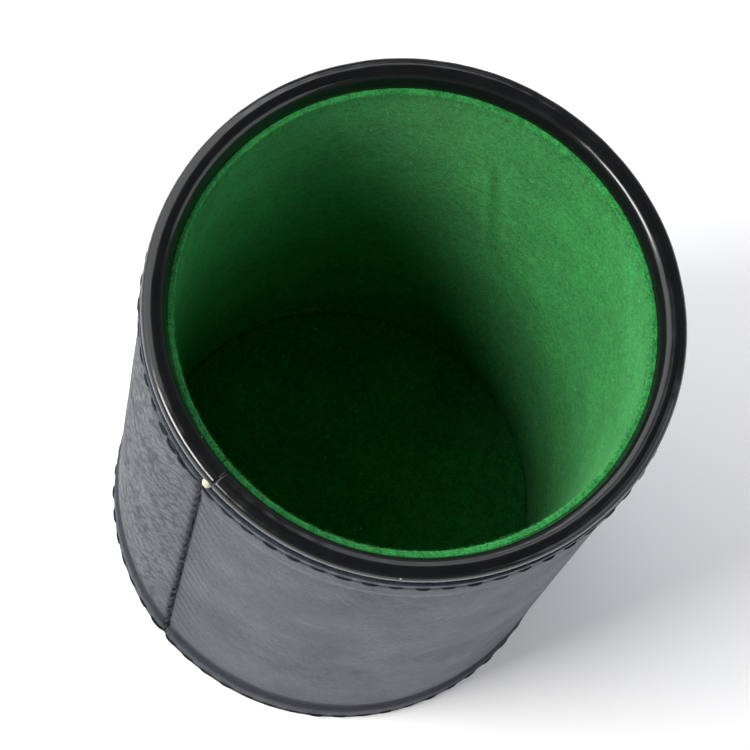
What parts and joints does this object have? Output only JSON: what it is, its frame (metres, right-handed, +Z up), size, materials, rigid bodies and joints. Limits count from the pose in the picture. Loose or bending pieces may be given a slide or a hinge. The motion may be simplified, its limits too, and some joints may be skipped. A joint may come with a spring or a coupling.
{
  "type": "dice cup",
  "caption": "Tapered dice cup of stitched black leather with a glossy domed rim trim and green felt inside, open at the top, for shaking and rolling dice.",
  "frame": {"origin": "centre of the foot, on the surface that the cup stands on", "axes": "+Z up along the cup's axis towards the open rim, -Y towards the side seam of the leather"},
  "size_m": [0.0802, 0.0805, 0.099],
  "materials": {
    "fibreboard": "plain pressed board, unfinished",
    "card": "grey card, unfinished",
    "green_felt": "short dense pile felt",
    "rim_vinyl": "glossy black, extruded and bent",
    "piping_leather": "thin coated leather, satin",
    "wrap_leather": "fine creased grain, satin sheen",
    "base_leather": "fine grain, satin sheen",
    "thread": "waxed black polyester thread",
    "set_glue": "set adhesive, semi-gloss"
  },
  "bodies": {
    "root": {"tube": "fibreboard", "base_board": "fibreboard", "lining_card": "card", "lining_felt": "green_felt", "floor_card": "card", "floor_felt": "green_felt", "rim_trim": "rim_vinyl", "edge_piping": "piping_leather", "leather_wrap": "wrap_leather", "base_leather": "base_leather", "top_stitches": "thread", "side_stitches": "thread", "foot_stitches": "thread", "back_tack": "thread", "glue_bead": "set_glue"}
  },
  "joints": []
}
